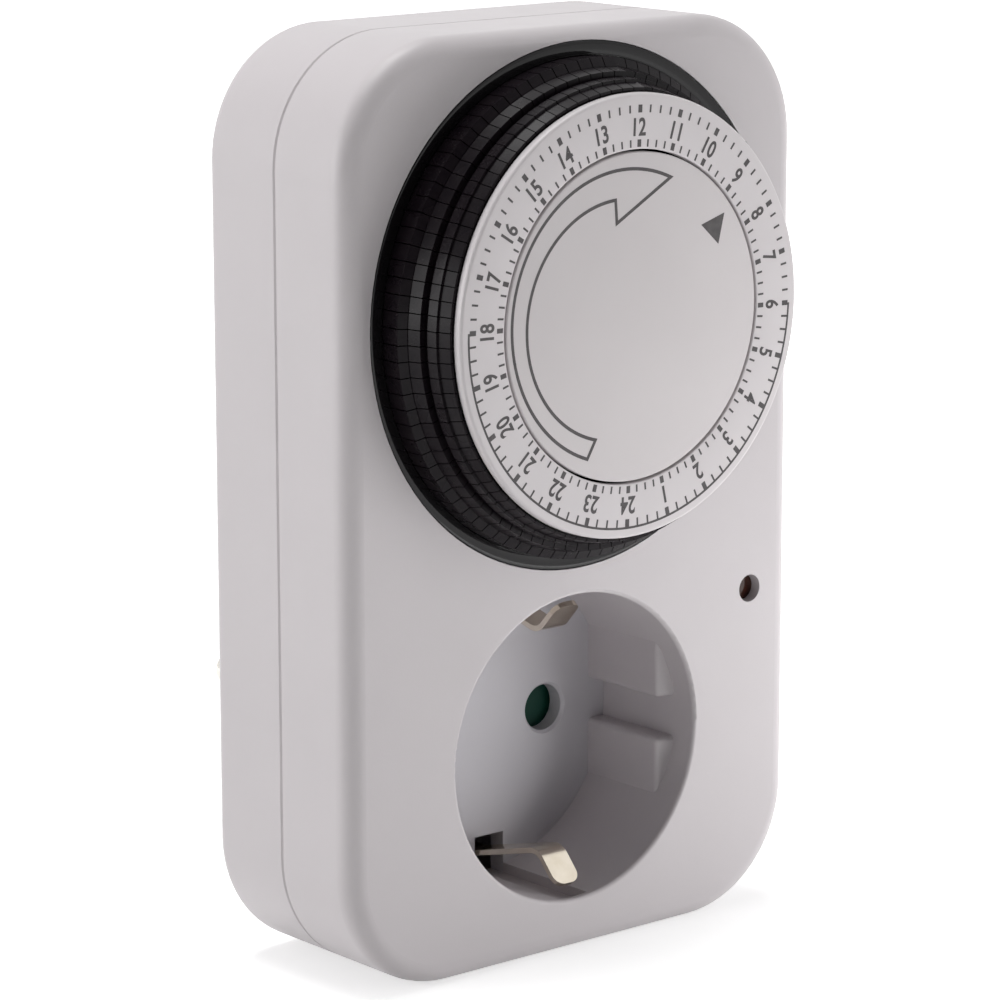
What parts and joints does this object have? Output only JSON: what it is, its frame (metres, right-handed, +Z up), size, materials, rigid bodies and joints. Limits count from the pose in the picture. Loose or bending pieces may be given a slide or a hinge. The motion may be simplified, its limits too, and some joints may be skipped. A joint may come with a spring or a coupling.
{
  "type": "plug in timer switch",
  "caption": "Plug-in mains timer switch: light grey housing, round dial with hours and push-in time pins, earthed socket in front, round plug behind.",
  "frame": {"origin": "middle of the plug's end face, half way between its two pins", "axes": "+X to the right seen from the front, +Y from the front into the wall along the pins, +Z up"},
  "size_m": [0.073, 0.0721, 0.117],
  "materials": {
    "housing_plastic": "satin light grey",
    "black_plastic": "glossy black",
    "dial_white": "satin white with dark printed hours",
    "shutter_green": "satin dark green",
    "gear_plastic": "satin natural",
    "black_inner": "satin black",
    "contact_brass": "bright",
    "pin_nickel": "bright nickel plated",
    "spring_steel": "bright",
    "plate_steel": "zinc plated",
    "window_brown": "clear dark brown",
    "lamp_glass": "clear"
  },
  "bodies": {
    "housing": {"front_shell": "housing_plastic", "rear_shell": "housing_plastic", "socket_floor": "housing_plastic", "shutter_spring": "spring_steel", "socket_contact_live": "contact_brass", "socket_contact_neutral": "contact_brass", "plug_pin_live": "pin_nickel", "plug_pin_neutral": "pin_nickel", "earth_clips": "pin_nickel", "plug_earth_strip": "pin_nickel", "live_strap": "contact_brass", "load_strap": "contact_brass", "neutral_strap": "contact_brass", "centre_disc": "dial_white", "centre_post": "gear_plastic", "idler_stud": "spring_steel", "motor_case": "plate_steel", "mechanism_plate": "black_inner", "lever_pin": "spring_steel", "switch_case": "black_inner", "indicator_lens": "window_brown", "neon_lamp": "lamp_glass", "housing_screws": "spring_steel", "plate_screws": "spring_steel"},
    "dial": {"dial_wheel": "black_plastic", "number_ring": "dial_white", "dial_gear": "gear_plastic", "clutch_washer": "spring_steel"},
    "shutter": {"socket_shutter": "shutter_green"},
    "idler": {"idler_gear": "gear_plastic"},
    "motor_output": {"motor_pinion": "gear_plastic"},
    "lever": {"switch_lever": "gear_plastic"},
    "plunger": {"switch_plunger": "black_inner"},
    "hour_00": {"time_pins_00": "black_plastic"},
    "hour_01": {"time_pins_01": "black_plastic"},
    "hour_02": {"time_pins_02": "black_plastic"},
    "hour_03": {"time_pins_03": "black_plastic"},
    "hour_04": {"time_pins_04": "black_plastic"},
    "hour_05": {"time_pins_05": "black_plastic"},
    "hour_06": {"time_pins_06": "black_plastic"},
    "hour_07": {"time_pins_07": "black_plastic"},
    "hour_08": {"time_pins_08": "black_plastic"},
    "hour_09": {"time_pins_09": "black_plastic"},
    "hour_10": {"time_pins_10": "black_plastic"},
    "hour_11": {"time_pins_11": "black_plastic"},
    "hour_12": {"time_pins_12": "black_plastic"},
    "hour_13": {"time_pins_13": "black_plastic"},
    "hour_14": {"time_pins_14": "black_plastic"},
    "hour_15": {"time_pins_15": "black_plastic"},
    "hour_16": {"time_pins_16": "black_plastic"},
    "hour_17": {"time_pins_17": "black_plastic"},
    "hour_18": {"time_pins_18": "black_plastic"},
    "hour_19": {"time_pins_19": "black_plastic"},
    "hour_20": {"time_pins_20": "black_plastic"},
    "hour_21": {"time_pins_21": "black_plastic"},
    "hour_22": {"time_pins_22": "black_plastic"},
    "hour_23": {"time_pins_23": "black_plastic"}
  },
  "joints": [
    {"name": "dial_turn", "type": "hinge", "parent": "housing", "child": "dial", "pos_m": [0, -0.0435, 0.056], "axis": [0, 1, 0], "continuous": true},
    {"name": "idler_turn", "type": "hinge", "parent": "housing", "child": "idler", "pos_m": [-0.01769, -0.0435, 0.04361], "axis": [0, 1, 0], "continuous": true},
    {"name": "motor_turn", "type": "hinge", "parent": "housing", "child": "motor_output", "pos_m": [-0.01509, -0.0435, 0.05838], "axis": [0, 1, 0], "continuous": true},
    {"name": "lever_swing", "type": "hinge", "parent": "housing", "child": "lever", "pos_m": [0.01108, -0.03525, 0.06456], "axis": [-0.6115, 0, 0.7912], "range_deg": [0, 8]},
    {"name": "plunger_press", "type": "slide", "parent": "housing", "child": "plunger", "axis": [0, 1, 0], "range_m": [0, 0.0009], "stiffness_N_per_m": 400},
    {"name": "shutter_turn", "type": "hinge", "parent": "housing", "child": "shutter", "pos_m": [0, -0.023, 0], "axis": [0, 1, 0], "range_deg": [0, 42], "stiffness_Nm_per_rad": 0.002, "springref_deg": -11.46},
    {"name": "pin_push_00", "type": "slide", "parent": "dial", "child": "hour_00", "axis": [0, 1, 0], "range_m": [0, 0.0026]},
    {"name": "pin_push_01", "type": "slide", "parent": "dial", "child": "hour_01", "axis": [0, 1, 0], "range_m": [0, 0.0026]},
    {"name": "pin_push_02", "type": "slide", "parent": "dial", "child": "hour_02", "axis": [0, 1, 0], "range_m": [0, 0.0026]},
    {"name": "pin_push_03", "type": "slide", "parent": "dial", "child": "hour_03", "axis": [0, 1, 0], "range_m": [0, 0.0026]},
    {"name": "pin_push_04", "type": "slide", "parent": "dial", "child": "hour_04", "axis": [0, 1, 0], "range_m": [0, 0.0026]},
    {"name": "pin_push_05", "type": "slide", "parent": "dial", "child": "hour_05", "axis": [0, 1, 0], "range_m": [0, 0.0026]},
    {"name": "pin_push_06", "type": "slide", "parent": "dial", "child": "hour_06", "axis": [0, 1, 0], "range_m": [0, 0.0026]},
    {"name": "pin_push_07", "type": "slide", "parent": "dial", "child": "hour_07", "axis": [0, 1, 0], "range_m": [0, 0.0026]},
    {"name": "pin_push_08", "type": "slide", "parent": "dial", "child": "hour_08", "axis": [0, 1, 0], "range_m": [0, 0.0026]},
    {"name": "pin_push_09", "type": "slide", "parent": "dial", "child": "hour_09", "axis": [0, 1, 0], "range_m": [-0.0026, 0]},
    {"name": "pin_push_10", "type": "slide", "parent": "dial", "child": "hour_10", "axis": [0, 1, 0], "range_m": [-0.0026, 0]},
    {"name": "pin_push_11", "type": "slide", "parent": "dial", "child": "hour_11", "axis": [0, 1, 0], "range_m": [-0.0026, 0]},
    {"name": "pin_push_12", "type": "slide", "parent": "dial", "child": "hour_12", "axis": [0, 1, 0], "range_m": [0, 0.0026]},
    {"name": "pin_push_13", "type": "slide", "parent": "dial", "child": "hour_13", "axis": [0, 1, 0], "range_m": [0, 0.0026]},
    {"name": "pin_push_14", "type": "slide", "parent": "dial", "child": "hour_14", "axis": [0, 1, 0], "range_m": [0, 0.0026]},
    {"name": "pin_push_15", "type": "slide", "parent": "dial", "child": "hour_15", "axis": [0, 1, 0], "range_m": [0, 0.0026]},
    {"name": "pin_push_16", "type": "slide", "parent": "dial", "child": "hour_16", "axis": [0, 1, 0], "range_m": [0, 0.0026]},
    {"name": "pin_push_17", "type": "slide", "parent": "dial", "child": "hour_17", "axis": [0, 1, 0], "range_m": [0, 0.0026]},
    {"name": "pin_push_18", "type": "slide", "parent": "dial", "child": "hour_18", "axis": [0, 1, 0], "range_m": [0, 0.0026]},
    {"name": "pin_push_19", "type": "slide", "parent": "dial", "child": "hour_19", "axis": [0, 1, 0], "range_m": [0, 0.0026]},
    {"name": "pin_push_20", "type": "slide", "parent": "dial", "child": "hour_20", "axis": [0, 1, 0], "range_m": [0, 0.0026]},
    {"name": "pin_push_21", "type": "slide", "parent": "dial", "child": "hour_21", "axis": [0, 1, 0], "range_m": [0, 0.0026]},
    {"name": "pin_push_22", "type": "slide", "parent": "dial", "child": "hour_22", "axis": [0, 1, 0], "range_m": [0, 0.0026]},
    {"name": "pin_push_23", "type": "slide", "parent": "dial", "child": "hour_23", "axis": [0, 1, 0], "range_m": [0, 0.0026]}
  ],
  "couplings": [
    {"joint": "idler_turn", "follows": "dial_turn", "ratio": -5},
    {"joint": "motor_turn", "follows": "dial_turn", "ratio": 20},
    {"joint": "lever_swing", "follows": "plunger_press", "rad_per_m": 153.85}
  ]
}
